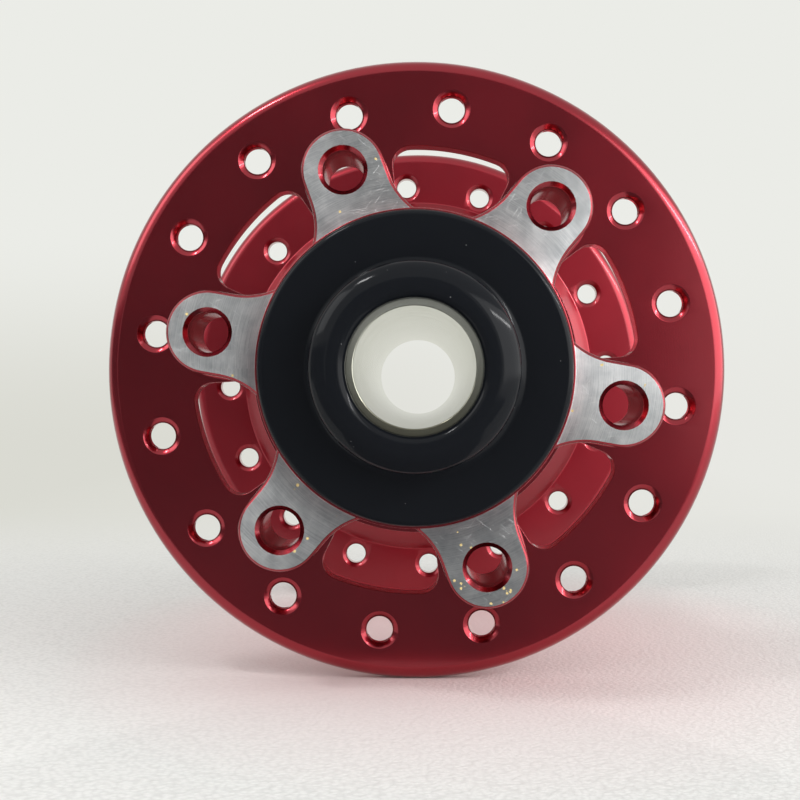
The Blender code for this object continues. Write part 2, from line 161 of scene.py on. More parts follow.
def makeFaced(name, look):
    material, tree, shader, place = startMaterial(name)
    flat = addNode(tree, "VectorMath", {"operation": "MULTIPLY", 1: (1, 0, 1)}, {0: place})
    reach = addNode(tree, "VectorMath", {"operation": "LENGTH"}, {0: flat.outputs["Vector"]})
    parts = addNode(tree, "SeparateXYZ", {}, {0: place})
    turn = addNode(tree, "Math", {"operation": "ARCTAN2"}, {0: parts.outputs["Z"], 1: parts.outputs["X"]})
    polar = addNode(tree, "CombineXYZ", {}, {"X": reach.outputs["Value"], "Y": turn.outputs["Value"]})
    width, length = look["tool"]
    stretched = addNode(tree, "Mapping", {"Scale": (1 / (width * mm), 1 / math.radians(length), 1)},
                        {"Vector": polar.outputs["Vector"]})
    tool = addNode(tree, "TexNoise", {"Scale": 1, "Detail": 3, "Roughness": 0.6},
                   {"Vector": stretched.outputs["Vector"]})
    marks = []
    wide, long = look["scratch"]
    faint, full = look["scratchCrest"]
    for angle, shift in look["scratches"]:
        run = addNode(tree, "Mapping", {"vector_type": "TEXTURE", "Location": (shift * mm, 0, shift * mm),
                                        "Rotation": (0, math.radians(angle), 0),
                                        "Scale": (wide * mm, 1, long * mm)}, {"Vector": place})
        streak = addNode(tree, "TexNoise", {"Scale": 1, "Detail": 1}, {"Vector": run.outputs["Vector"]})
        thin = addNode(tree, "MapRange", {"From Min": faint, "From Max": full},
                       {"Value": streak.outputs["Fac"]})
        marks.append(thin.outputs["Result"])
    pair = addNode(tree, "Math", {"operation": "MAXIMUM"}, {0: marks[0], 1: marks[1]})
    scratch = addNode(tree, "Math", {"operation": "MAXIMUM"}, {0: pair.outputs["Value"], 1: marks[2]})
    smudge = addNode(tree, "TexNoise", {"Scale": 1 / (look["smudge"] * mm), "Detail": 4, "Roughness": 0.6},
                     {"Vector": place})
    worn = addNode(tree, "Mix", {"data_type": "FLOAT", 0: look["toolShare"]},
                   {2: smudge.outputs["Fac"], 3: tool.outputs["Fac"]})
    dark, light = look["contrast"]
    contrast = addNode(tree, "MapRange", {"From Min": dark, "From Max": light}, {"Value": worn.outputs[0]})
    bright = addNode(tree, "Math", {"operation": "MAXIMUM"},
                     {0: contrast.outputs["Result"], 1: scratch.outputs["Value"]})
    tone = addNode(tree, "Mix", {"data_type": "RGBA", 6: linear(look["darker"]), 7: linear(look["colour"])},
                   {0: bright.outputs["Value"]})
    dull = addNode(tree, "MapRange", {**noiseStretch, "To Min": look["roughness"][0],
                                      "To Max": look["roughness"][1]}, {"Value": smudge.outputs["Fac"]})
    turned = addNode(tree, "Bump", {"Strength": 1, "Distance": look["toolDepth"] * mm},
                     {"Height": tool.outputs["Fac"]})
    scored = addNode(tree, "Bump", {"Strength": 1, "Distance": look["scratchDepth"] * mm, "invert": True},
                     {"Height": scratch.outputs["Value"], "Normal": turned.outputs["Normal"]})
    chips = addNode(tree, "TexVoronoi", {"Scale": 1 / (look["chipSpacing"] * mm)}, {"Vector": place})
    draw = addNode(tree, "SeparateXYZ", {}, {0: chips.outputs["Color"]})
    high, low = [height * mm for height in look["chipHeights"]]
    few, many = look["chipShare"]
    share = addNode(tree, "MapRange", {"From Min": high, "From Max": low, "To Min": few, "To Max": many},
                    {"Value": parts.outputs["Z"]})
    held = addNode(tree, "Math", {"operation": "LESS_THAN"},
                   {0: draw.outputs["X"], 1: share.outputs["Result"]})
    size = addNode(tree, "Math", {"operation": "MULTIPLY", 1: look["chipSize"]}, {0: draw.outputs["Y"]})
    speck = addNode(tree, "Math", {"operation": "LESS_THAN"},
                    {0: chips.outputs["Distance"], 1: size.outputs["Value"]})
    chip = addNode(tree, "Math", {"operation": "MULTIPLY"},
                   {0: held.outputs["Value"], 1: speck.outputs["Value"]})
    chipped = addNode(tree, "Mix", {"data_type": "RGBA", 7: linear(look["chip"])},
                      {0: chip.outputs["Value"], 6: tone.outputs[2]})
    across = addNode(tree, "VectorTransform", {"vector_type": "VECTOR", "convert_from": "OBJECT",
                                               "convert_to": "WORLD"}, {"Vector": flat.outputs["Vector"]})
    clean = addNode(tree, "Math", {"operation": "SUBTRACT", 0: 1}, {1: chip.outputs["Value"]})
    tree.links.new(clean.outputs["Value"], shader.inputs["Metallic"])
    shader.inputs["Anisotropic"].default_value = look["grain"]
    tree.links.new(across.outputs["Vector"], shader.inputs["Tangent"])
    tree.links.new(chipped.outputs[2], shader.inputs["Base Color"])
    tree.links.new(dull.outputs["Result"], shader.inputs["Roughness"])
    tree.links.new(scored.outputs["Normal"], shader.inputs["Normal"])
    return material


# Black anodised aluminium: dark dye under a clear oxide, blasted fine before it was dyed,
# so highlights on its round edges break into a fine grain. A few specks of dust lie on it.
blackAnodised = {
    "colour": "#14161a",
    "dust": "#8f9092",
    "roughness": (0.1, 0.13),
    "blast": 0.16,
    "blastDepth": 0.001,
    "gloss": 0.14,  # well under the usual 0.5, so that the black stays deep
    "patch": 4,  # size of the patches that are a little smoother or rougher
    "patchStretch": (0.35, 0.7),
    "turning": 0.3,
    "turningDepth": 0.0004,
    "wander": 1,
    "speck": 1.6,  # spacing of places where dust may lie
    "speckSize": 0.035,  # share of that spacing
    "speckFull": 0.6,  # share of a speck that is solid
}


def makeBlack(name, look):
    material, tree, shader, place = startMaterial(name)
    blast = addNode(tree, "TexNoise", {"Scale": 1 / (look["blast"] * mm), "Detail": 2}, {"Vector": place})
    rings = addNode(tree, "TexWave", {**ringMarks, "Scale": ringScale(look["turning"]),
                                      "Distortion": look["wander"]}, {"Vector": place})
    worn = addNode(tree, "TexNoise", {"Scale": 1 / (look["patch"] * mm), "Detail": 4}, {"Vector": place})
    low, high = look["patchStretch"]
    satin = addNode(tree, "MapRange", {"From Min": low, "From Max": high, "To Min": look["roughness"][0],
                                       "To Max": look["roughness"][1]}, {"Value": worn.outputs["Fac"]})
    specks = addNode(tree, "TexVoronoi", {"Scale": 1 / (look["speck"] * mm)}, {"Vector": place})
    dust = addNode(tree, "MapRange", {"From Min": look["speckSize"],
                                      "From Max": look["speckSize"] * look["speckFull"]},
                   {"Value": specks.outputs["Distance"]})
    tone = addNode(tree, "Mix", {"data_type": "RGBA", 6: linear(look["colour"]), 7: linear(look["dust"])},
                   {0: dust.outputs["Result"]})
    turned = addNode(tree, "Bump", {"Strength": 1, "Distance": look["turningDepth"] * mm},
                     {"Height": rings.outputs["Fac"]})
    grain = addNode(tree, "Bump", {"Strength": 1, "Distance": look["blastDepth"] * mm},
                    {"Height": blast.outputs["Fac"], "Normal": turned.outputs["Normal"]})
    shader.inputs["Specular IOR Level"].default_value = look["gloss"]
    tree.links.new(tone.outputs[2], shader.inputs["Base Color"])
    tree.links.new(satin.outputs["Result"], shader.inputs["Roughness"])
    tree.links.new(grain.outputs["Normal"], shader.inputs["Normal"])
    return material


# Bare metals off the lathe, hardened steel off the grinder, and polished balls:
# the same build, from a fine ring mark to none.
# Bare aluminium's last colour is painted shade: the axle darkens low down and towards the disc side.
bareAluminium = {"colour": "#f0f1e5", "darker": "#e0e1d3", "roughness": (0.18, 0.22),
                 "mark": 0.25, "markDepth": 0.0001, "wander": 2, "cloud": 3,
                 "paintedShade": "#8f8d7c", "paintedShadeHeights": (3, -11), "paintedShadeTilt": 0.08}
groundSteel = {"colour": "#b9babd", "darker": "#a3a4a8", "roughness": (0.16, 0.26),
               "mark": 0.2, "markDepth": 0.0005, "wander": 2, "cloud": 4}
polishedSteel = {"colour": "#d3d4d6", "darker": "#c6c7ca", "roughness": (0.05, 0.1),
                 "mark": 0.2, "markDepth": 0.00005, "wander": 2, "cloud": 2}


def makeMetal(name, look):
    material, tree, shader, place = startMaterial(name)
    cloud = addNode(tree, "TexNoise", {"Scale": 1 / (look["cloud"] * mm), "Detail": 4}, {"Vector": place})
    tone = addNode(tree, "Mix", {"data_type": "RGBA", 6: linear(look["darker"]), 7: linear(look["colour"])},
                   {0: cloud.outputs["Fac"]})
    rings = addNode(tree, "TexWave", {**ringMarks, "Scale": ringScale(look["mark"]),
                                      "Distortion": look["wander"]}, {"Vector": place})
    bands = addNode(tree, "TexWave", {**bandMarks, "Scale": ringScale(look["mark"]),
                                      "Distortion": look["wander"]}, {"Vector": place})
    satin = addNode(tree, "MapRange", {**noiseStretch, "To Min": look["roughness"][0],
                                       "To Max": look["roughness"][1]}, {"Value": cloud.outputs["Fac"]})
    faced = addNode(tree, "Bump", {"Strength": 1, "Distance": look["markDepth"] * mm},
                    {"Height": rings.outputs["Fac"]})
    turned = addNode(tree, "Bump", {"Strength": 1, "Distance": look["markDepth"] * mm},
                     {"Height": bands.outputs["Fac"], "Normal": faced.outputs["Normal"]})
    shader.inputs["Metallic"].default_value = 1
    tree.links.new(tone.outputs[2], shader.inputs["Base Color"])
    if "paintedShade" in look:  # painted shade, not grease: the colour darkens low down and towards the disc side's mouth
        parts = addNode(tree, "SeparateXYZ", {}, {0: place})
        high, low = look["paintedShadeHeights"]
        tilted = addNode(tree, "Math", {"operation": "MULTIPLY_ADD", 1: look["paintedShadeTilt"]},
                         {0: parts.outputs["Y"], 2: parts.outputs["Z"]})
        shadeShare = addNode(tree, "MapRange", {"interpolation_type": "SMOOTHSTEP", "From Min": high * mm,
                                             "From Max": low * mm}, {"Value": tilted.outputs["Value"]})
        shadedTone = addNode(tree, "Mix", {"data_type": "RGBA", 7: linear(look["paintedShade"])},
                         {0: shadeShare.outputs["Result"], 6: tone.outputs[2]})
        tree.links.new(shadedTone.outputs[2], shader.inputs["Base Color"])
    tree.links.new(satin.outputs["Result"], shader.inputs["Roughness"])
    tree.links.new(turned.outputs["Normal"], shader.inputs["Normal"])
    return material


# Moulded nitrile rubber and moulded nylon: dull, with the grain of the mould.
blackRubber = {"colour": "#1b1b1c", "lighter": "#262627", "roughness": (0.5, 0.66), "grain": 0.2,
               "grainDepth": 0.004}
mouldedNylon = {"colour": "#cfc3a0", "lighter": "#ddd3b6", "roughness": (0.36, 0.48), "grain": 0.3,
                "grainDepth": 0.002}


def makeMoulded(name, look):
    material, tree, shader, place = startMaterial(name)
    grain = addNode(tree, "TexNoise", {"Scale": 1 / (look["grain"] * mm), "Detail": 3}, {"Vector": place})
    tone = addNode(tree, "Mix", {"data_type": "RGBA", 6: linear(look["colour"]),
                                 7: linear(look["lighter"])}, {0: grain.outputs["Fac"]})
    satin = addNode(tree, "MapRange", {**noiseStretch, "To Min": look["roughness"][0],
                                       "To Max": look["roughness"][1]}, {"Value": grain.outputs["Fac"]})
    relief = addNode(tree, "Bump", {"Strength": 1, "Distance": look["grainDepth"] * mm},
                     {"Height": grain.outputs["Fac"]})
    tree.links.new(tone.outputs[2], shader.inputs["Base Color"])
    tree.links.new(satin.outputs["Result"], shader.inputs["Roughness"])
    tree.links.new(relief.outputs["Normal"], shader.inputs["Normal"])
    return material


redFinish = makeRed("red anodised aluminium", redAnodised)
facedFinish = makeFaced("bare aluminium, faced", facedAluminium)
blackFinish = makeBlack("black anodised aluminium", blackAnodised)
bareFinish = makeMetal("bare turned aluminium", bareAluminium)
steelFinish = makeMetal("ground bearing steel", groundSteel)
ballFinish = makeMetal("polished ball steel", polishedSteel)
rubberFinish = makeMoulded("moulded black rubber", blackRubber)
nylonFinish = makeMoulded("moulded nylon", mouldedNylon)
print("finishes made")


weldDistance = 1e-7  # metres: points this near are one point


# A section is a list of corners (radius, along the axle, rounding). It starts as one face in the
# XY plane, its corners are rounded, and its outline is turned about Y.
def lathe(corners, steps, roundSteps=6):
    shape = bmesh.new()
    points = [shape.verts.new((radius * mm, along * mm, 0)) for radius, along, _ in corners]
    shape.faces.new(points)
    setbacks = []
    for k, (_, _, rounding) in enumerate(corners):
        before = points[k - 1].co - points[k].co
        after = points[(k + 1) % len(points)].co - points[k].co
        setbacks.append(rounding * mm / math.tan(before.angle(after) / 2))
    for point, setback in zip(points, setbacks):
        if setback > 0:
            bmesh.ops.bevel(shape, geom=[point], offset=setback, offset_type="OFFSET", affect="VERTICES",
                            segments=roundSteps, profile=0.5, material=-1, clamp_overlap=False)
    bmesh.ops.remove_doubles(shape, verts=shape.verts, dist=weldDistance)
    bmesh.ops.delete(shape, geom=shape.faces[:], context="FACES_ONLY")
    inner = [edge for edge in shape.edges if all(v.co.x < weldDistance for v in edge.verts)]
    bmesh.ops.delete(shape, geom=inner, context="EDGES")
    bmesh.ops.spin(shape, geom=shape.verts[:] + shape.edges[:], cent=(0, 0, 0), axis=(0, 1, 0),
                   angle=math.tau, steps=steps, use_merge=True)
    bmesh.ops.remove_doubles(shape, verts=shape.verts, dist=weldDistance)
    bmesh.ops.recalc_face_normals(shape, faces=shape.faces)
    return shape


def onSide(corners, side):
    return [(radius, side * along, rounding) for radius, along, rounding in corners]


# Repeats a shape round the axle, after moving it out from it.
def around(shape, radius, count, firstAngle):
    bmesh.ops.transform(shape, verts=shape.verts,
                        matrix=Matrix.Rotation(-math.radians(firstAngle), 4, "Y")
                        @ Matrix.Translation((radius * mm, 0, 0)))
    if count > 1:
        bmesh.ops.spin(shape, geom=shape.verts[:] + shape.edges[:] + shape.faces[:], cent=(0, 0, 0),
                       axis=(0, 1, 0), angle=math.tau * (count - 1) / count, steps=count - 1,
                       use_duplicate=True)
    return shape


def pick(geometry, kind):
    return [item for item in geometry if isinstance(item, kind)]


# Draws an arc by turning a point about a centre, positive from +X towards +Z.
def turnPoint(shape, point, centreX, centreZ, angle, steps):
    centre = (centreX * mm, point.co.y, centreZ * mm)
    made = bmesh.ops.spin(shape, geom=[point], cent=centre, axis=(0, -1, 0),
                          angle=math.radians(angle), steps=steps)
    return pick(made["geom_last"], bmesh.types.BMVert)[0]


def drawTo(shape, point, x, z):
    end = shape.verts.new((x * mm, point.co.y, z * mm))
    shape.edges.new((point, end))
    return end


# Joins one outline drawn at several heights, each grown or shrunk a little, into a closed shape.
def loft(outline, stations):
    shape = bmesh.new()
    loops = []
    for along, grow in stations:
        known = set(shape.edges)
        outline(shape, along, grow)
        drawn = {v for edge in shape.edges if edge not in known for v in edge.verts}
        bmesh.ops.remove_doubles(shape, verts=list(drawn), dist=weldDistance)
        loops.append([edge for edge in shape.edges if edge not in known])
    for low, high in zip(loops, loops[1:]):
        bmesh.ops.bridge_loops(shape, edges=low + high)
    for end in (loops[0], loops[-1]):
        bmesh.ops.contextual_create(shape, geom=end)
    bmesh.ops.recalc_face_normals(shape, faces=shape.faces)
    return shape


def quarterTurns(steps):
    return [math.radians(90 * k / steps) for k in range(steps + 1)]


# Stations of a rounded edge on a wall: grow is 0 on the wall and goes out to the rounding. The
# widest ring lies a hair outside the face, and the cutter then stands out of the metal.
def mouthStations(face, inwards, rounding, steps=4, lift=0.015, over=0.4):
    made = [(face - inwards * over, rounding)]
    for turn in quarterTurns(steps)[::-1]:
        depth = rounding - rounding * math.sin(turn) - lift
        made.append((face + inwards * depth, rounding * (1 - math.cos(turn))))
    return made


def makeObject(name, shape, finishes):
    mesh = bpy.data.meshes.new(name)
    shape.to_mesh(mesh)
    shape.free()
    for finish in finishes:
        mesh.materials.append(finish)
    made = bpy.data.objects.new(name, mesh)
    bpy.context.scene.collection.objects.link(made)
    return made


# Cuts or joins tools in turn, keeps the result as the object's own mesh and drops the tools.
def machine(piece, steps):
    for operation, tool in steps:
        modifier = piece.modifiers.new(tool.name, "BOOLEAN")
        modifier.object, modifier.operation, modifier.solver = tool, operation, "EXACT"
    bpy.context.view_layer.update()
    result = bpy.data.meshes.new_from_object(piece.evaluated_get(bpy.context.evaluated_depsgraph_get()))
    piece.modifiers.clear()
    piece.data = result
    for _, tool in steps:
        bpy.data.objects.remove(tool)


def finishPiece(piece, body, node, sharpAngle=32):
    piece.data.shade_smooth()
    piece.data.set_sharp_from_angle(angle=math.radians(sharpAngle))
    weighted = piece.modifiers.new("even shading", "WEIGHTED_NORMAL")
    weighted.keep_sharp, weighted.weight = True, 50
    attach(piece, body)
    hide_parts(node)
    return piece


# Hub shell: turned from bar, milled into tabs and windows, drilled, dyed, then faced across the tabs.
hub = {
    "shellEnd": 41.5, "seat": 15.3, "seatDepth": 9.1, "step": 1.7, "bore": 12.2,
    "seatEdge": 0.15, "boreEdge": 0.5, "stepEdge": 0.2, "stepRoot": 0.1,
    "pilot": 16.5, "pilotEdge": 0.12, "pilotRoot": 1.0,
    "flange": 34.2, "rimRounding": 1.4,
    "discFlange": (-30.5, -27.5), "plainFlange": (32.7, 35.7),
    "barrel": 15.2, "barrelFillet": 2.5, "coneEdge": 26.6, "coneFillet": 6, "coneRoot": 0.3,
    "steps": 192, "roundSteps": 8,
}
tab = {
    "face": -39.5, "foot": -29.6, "boltCircle": 22, "tip": 4.4, "neck": 2, "flare": 7.7, "buried": 16.2,
    "tipSteps": 32, "flareSteps": 12, "rootSteps": 8,
    "count": 6, "firstAngle": -10, "rawExtra": 0.1, "edgeRounding": 0.65, "edgeSteps": 6,
    "footFillet": 0.4, "footSteps": 4, "faceFillet": 0.3,
    "facingReach": 30, "facingDepth": 3,  # of the cut that skims the tabs
    "boltHole": 4.3, "threadRoot": 4.55, "pitch": 0.8, "boltSink": 5.2, "boltSteps": 32,
    "thread": (0.44, 0.56, 0.94),  # where a groove is deepest from, to, and where it ends, in pitches
    "threadStart": 0.2, "threadEnd": 0.3,  # plain stretches before and after it
    "exitSink": (0.25, 0.65),  # depth, and how much wider it is where the cutter leaves
    "over": 0.4,  # how far a cutter stands out of the metal
}
window = {
    "inner": 17.9, "outer": 24.7, "halfAngle": 16.4, "corner": 2, "edgeRounding": 0.1,
    "outerSteps": 16, "innerSteps": 12, "cornerSteps": 8, "count": 6, "firstAngle": 20,
}
spoke = {
    "circle": 29, "hole": 2.9, "sink": 4.1, "sinkDepth": (0.5, 1.4), "mouthRounding": 0.15,
    "mouthEdge": 0.02, "throatRounding": 0.3, "over": 0.4, "steps": 32, "roundSteps": 4,
    "count": 16, "discAngle": 14.6, "plainAngle": 3.35,
}
shellFinishes = [redFinish, facedFinish]  # the second is only where the tabs are skimmed


def hubBody():
    end, seatBottom = hub["shellEnd"], hub["shellEnd"] - hub["seatDepth"]
    discOut, discIn = hub["discFlange"]
    plainIn, plainOut = hub["plainFlange"]
    step = hub["step"]
    coneFoot = plainIn - (hub["coneEdge"] - hub["barrel"])
    mouth = [(hub["seat"], end, hub["seatEdge"]), (hub["pilot"], end, hub["pilotEdge"])]
    inside = [(hub["bore"], seatBottom - 2 * step, hub["boreEdge"]),
              (hub["seat"] - step, seatBottom - step, hub["stepEdge"]),
              (hub["seat"] - step, seatBottom, hub["stepRoot"]), (hub["seat"], seatBottom, 0)]
    corners = [
        *onSide(mouth, -1),
        (hub["pilot"], discOut, hub["pilotRoot"]),
        (hub["flange"], discOut, hub["rimRounding"]),
        (hub["flange"], discIn, hub["rimRounding"]),
        (hub["barrel"], discIn, hub["barrelFillet"]),
        (hub["barrel"], coneFoot, hub["coneFillet"]),
        (hub["coneEdge"], plainIn, hub["coneRoot"]),
        (hub["flange"], plainIn, hub["rimRounding"]),
        (hub["flange"], plainOut, hub["rimRounding"]),
        (hub["pilot"], plainOut, hub["pilotRoot"]),
        *mouth[::-1],
        *inside[::-1],
        *onSide(inside, -1),
    ]
    return lathe(corners, hub["steps"], hub["roundSteps"])


# One tab seen along the axle, pointing along +X: a round tip, straight sides, hollow flares.
def tabOutline(shape, along, grow):
    half, flare = tab["tip"] + grow, tab["flare"] - grow
    neck, flareCentre = tab["boltCircle"] - tab["neck"], tab["tip"] + tab["flare"]
    reach = math.hypot(neck, flareCentre)
    cosine = (reach**2 + flare**2 - tab["buried"]**2) / (2 * reach * flare)
    sweep = math.degrees(math.atan2(neck, flareCentre) - math.acos(cosine))
    start = shape.verts.new((tab["boltCircle"] * mm, along * mm, -half * mm))
    point = turnPoint(shape, start, tab["boltCircle"], 0, 180, tab["tipSteps"])
    point = drawTo(shape, point, neck, half)
    point = turnPoint(shape, point, neck, flareCentre, -sweep, tab["flareSteps"])
    root = math.degrees(math.atan2(point.co.z, point.co.x))
    point = turnPoint(shape, point, 0, 0, -2 * root, tab["rootSteps"])
    point = turnPoint(shape, point, neck, -flareCentre, -sweep, tab["flareSteps"])
    shape.edges.new((point, start))


def onCircle(radius, turn):
    return radius * math.cos(turn), radius * math.sin(turn)


# One window, centred on +X: two arcs about the axle joined by straight sides, with round corners.
def windowOutline(shape, along, grow):
    corner, half, steps = window["corner"], math.radians(window["halfAngle"]), window["cornerSteps"]
    outer, inner = window["outer"] - corner, window["inner"] + corner
    outerLean, innerLean = math.asin(corner / outer), math.asin(corner / inner)
    outerTurn, innerTurn = half - outerLean, half - innerLean
    outerBend, innerBend = 90 + math.degrees(outerLean), 90 - math.degrees(innerLean)
    radius = corner + grow
    side = Vector((-math.sin(half), math.cos(half))) * radius
    x, z = onCircle(outer + radius, -outerTurn)
    start = shape.verts.new((x * mm, along * mm, z * mm))
    point = turnPoint(shape, start, 0, 0, 2 * math.degrees(outerTurn), window["outerSteps"])
    point = turnPoint(shape, point, *onCircle(outer, outerTurn), outerBend, steps)
    x, z = onCircle(inner, innerTurn)
    point = drawTo(shape, point, x + side.x, z + side.y)
    point = turnPoint(shape, point, x, z, innerBend, steps)
    point = turnPoint(shape, point, 0, 0, -2 * math.degrees(innerTurn), window["innerSteps"])
    point = turnPoint(shape, point, *onCircle(inner, -innerTurn), innerBend, steps)
    x, z = onCircle(outer, -outerTurn)
    point = drawTo(shape, point, x + side.x, z - side.y)
    turnPoint(shape, point, x, z, outerBend, steps)


def spokePin(low, high, lowDepth, highDepth):
    hole, sink, throat = spoke["hole"] / 2, spoke["sink"] / 2, spoke["throatRounding"]
    mouth, edge, over = sink + spoke["mouthRounding"], spoke["mouthEdge"], spoke["over"]
    return lathe([
        (0, low - over, 0), (mouth, low - over, 0), (mouth, low - edge, 0),
        (sink, low + edge, 0), (hole, low + lowDepth, throat),
        (hole, high - highDepth, throat), (sink, high - edge, 0),
        (mouth, high + edge, 0), (mouth, high + over, 0), (0, high + over, 0),
    ], spoke["steps"], spoke["roundSteps"])


def boltPin(low, high):
    hole, sink, root, pitch = tab["boltHole"] / 2, tab["boltSink"] / 2, tab["threadRoot"] / 2, tab["pitch"]
    deepFrom, deepTo, ends = tab["thread"]
    exitDepth, exitFlare = tab["exitSink"]
    depth, over = sink - hole, tab["over"]
    corners = [(0, low - over, 0), (sink + over, low - over, 0), (hole, low + depth, 0)]
    along = low + depth + tab["threadStart"]
    while along + pitch < high - tab["threadEnd"]:
        corners += [(hole, along, 0), (root, along + pitch * deepFrom, 0),
                    (root, along + pitch * deepTo, 0), (hole, along + pitch * ends, 0)]
        along += pitch
    corners += [(hole, high - exitDepth, 0), (hole + exitFlare, high + over, 0), (0, high + over, 0)]
    return lathe(corners, tab["boltSteps"])


# A tab's stations: a hollow fillet out of the flange, then a rounded edge up to the raw face.
def tabStations(flangeFace):
    fillet, rounding = tab["footFillet"], tab["edgeRounding"]
    raw = tab["face"] - tab["rawExtra"]
    stations = [(tab["foot"], fillet)]
    for turn in quarterTurns(tab["footSteps"]):
        stations.append((flangeFace - fillet * (1 - math.cos(turn)), fillet * (1 - math.sin(turn))))
    for turn in quarterTurns(tab["edgeSteps"]):
        stations.append((raw + rounding * (1 - math.sin(turn)), -rounding * (1 - math.cos(turn))))
    return stations


# The tabs are milled with the shell, and the dyed skin is then skimmed off their faces.
def skimmedTabs(flangeFace):
    shape = around(loft(tabOutline, tabStations(flangeFace)), 0, tab["count"], tab["firstAngle"])
    tabs = makeObject("tabs", shape, shellFinishes)
    pilot, face, reach, top = hub["pilot"], tab["face"], tab["facingReach"], tab["face"] - tab["facingDepth"]
    facing = lathe([(pilot, face, tab["faceFillet"]), (reach, face, 0), (reach, top, 0), (pilot, top, 0)],
                   hub["steps"])
    cutter = makeObject("facing", facing, shellFinishes)
    for polygon in cutter.data.polygons:
        polygon.material_index = 1  # what it cuts is bare
    machine(tabs, [("DIFFERENCE", cutter)])
    return tabs


# Boolean cuts leave some points all but on top of each other.
def weldMesh(mesh, distance=1e-6):
    shape = bmesh.new()
    shape.from_mesh(mesh)
    bmesh.ops.remove_doubles(shape, verts=shape.verts, dist=distance)
    bmesh.ops.dissolve_degenerate(shape, edges=shape.edges, dist=distance)
    shape.to_mesh(mesh)
    shape.free()


def hubShell():
    shell = makeObject("hubShell", hubBody(), shellFinishes)
    discOut, discIn = hub["discFlange"]
    steps = [("UNION", skimmedTabs(discOut))]
    rounding = window["edgeRounding"]
    stations = mouthStations(discOut, 1, rounding) + mouthStations(discIn, -1, rounding)[::-1]
    openings = around(loft(windowOutline, stations), 0, window["count"], window["firstAngle"])
    steps.append(("DIFFERENCE", makeObject("windows", openings, shellFinishes)))
    holes = around(boltPin(tab["face"], discIn), tab["boltCircle"], tab["count"], tab["firstAngle"])
    steps.append(("DIFFERENCE", makeObject("bolts", holes, shellFinishes)))
    outer, inner = spoke["sinkDepth"]
    for pin, angle in ((spokePin(*hub["discFlange"], outer, inner), spoke["discAngle"]),
                       (spokePin(*hub["plainFlange"], outer, outer), spoke["plainAngle"])):
        pins = around(pin, spoke["circle"], spoke["count"], angle)
        steps.append(("DIFFERENCE", makeObject("spokes", pins, shellFinishes)))
    machine(shell, steps)
    weldMesh(shell.data)
    return finishPiece(shell, "shell", "hub_shell")


shellPiece = hubShell()
print("hub shell machined,", len(shellPiece.data.polygons), "faces")


# Axle: a tube with a shoulder between the bearings and a thinner end for each cap.
axle = {
    "bore": 6.05, "stub": 7.5, "stubEnd": 48.3, "seat": 8.2, "seatEnd": 39.1, "shoulder": 10,
    "shoulderEnd": 32.4, "shoulderEdge": 0.25, "seatRoot": 0.15, "seatEdge": 0.2, "stubRoot": 0.1,
    "stubEdge": 0.3, "boreEdge": 0.12, "steps": 128, "roundSteps": 4,
}


def axleTube():
    half = [
        (axle["shoulder"], axle["shoulderEnd"], axle["shoulderEdge"]),
        (axle["seat"], axle["shoulderEnd"], axle["seatRoot"]),
        (axle["seat"], axle["seatEnd"], axle["seatEdge"]),
        (axle["stub"], axle["seatEnd"], axle["stubRoot"]),
        (axle["stub"], axle["stubEnd"], axle["stubEdge"]),
        (axle["bore"], axle["stubEnd"], axle["boreEdge"]),
    ]
    shape = lathe(half + onSide(half, -1)[::-1], axle["steps"], axle["roundSteps"])
    finishPiece(makeObject("axleTube", shape, [bareFinish]), "axle", "axle_tube")


# End cap: a disc over the shell's end, a nose that meets the fork, a collar on the inner race.
cap = {
    "bore": 7.8, "collar": 9.6, "collarEnd": 40, "disc": 16.12, "discBack": 41.8, "discFront": 43.6,
    "discRounding": 0.6, "nose": 10.5, "end": 50, "footFillet": 0.9, "bevelStart": 9.2, "bevelDepth": 1.1,
    "bevelIn": 2.5, "bevelOut": 1.1, "lip": 6.775, "lipRounding": 0.9, "lipDepth": 1.4,
    "groove": (44.5, 46.3), "grooveRadius": 9.3, "grooveMouth": 0.05, "grooveRoot": 0.1,
    "collarEdge": 0.2, "discRoot": 0.15, "discBackEdge": 0.2, "steps": 160,
}


def endCap(name, side, node):
    grooveBack, grooveFront = cap["groove"]
    lipBottom = cap["end"] - cap["lipDepth"]
    corners = [
        (cap["collar"], cap["collarEnd"], cap["collarEdge"]),
        (cap["collar"], cap["discBack"], cap["discRoot"]),
        (cap["disc"], cap["discBack"], cap["discBackEdge"]),
        (cap["disc"], cap["discFront"], cap["discRounding"]),
        (cap["nose"], cap["discFront"], cap["footFillet"]),
        (cap["nose"], cap["end"] - cap["bevelDepth"], cap["bevelOut"]),
        (cap["bevelStart"], cap["end"], cap["bevelIn"]),
        (cap["lip"], cap["end"], cap["lipRounding"]),
        (cap["lip"], lipBottom, 0),
        (cap["bore"], lipBottom, 0),
        (cap["bore"], grooveFront, cap["grooveMouth"]),
        (cap["grooveRadius"], grooveFront, cap["grooveRoot"]),
        (cap["grooveRadius"], grooveBack, cap["grooveRoot"]),
        (cap["bore"], grooveBack, cap["grooveMouth"]),
        (cap["bore"], cap["collarEnd"], cap["collarEdge"]),
    ]
    made = makeObject(name, lathe(onSide(corners, side), cap["steps"]), [blackFinish])
    finishPiece(made, "axle", node)


# O-ring: moulded, seated in the cap's groove, gripping the axle's end.
ring = {"centre": 8.4, "along": 45.4, "cord": 1.2, "cordSteps": 16, "steps": 96}


def capRing(name, side, node):
    shape = bmesh.new()
    bmesh.ops.create_circle(shape, segments=ring["cordSteps"], radius=ring["cord"] / 2 * mm,
                            matrix=Matrix.Translation((ring["centre"] * mm, side * ring["along"] * mm, 0)))
    bmesh.ops.spin(shape, geom=shape.verts[:] + shape.edges[:], cent=(0, 0, 0), axis=(0, 1, 0),
                   angle=math.tau, steps=ring["steps"], use_merge=True)
    bmesh.ops.recalc_face_normals(shape, faces=shape.faces)
    finishPiece(makeObject(name, shape, [rubberFinish]), "axle", node)


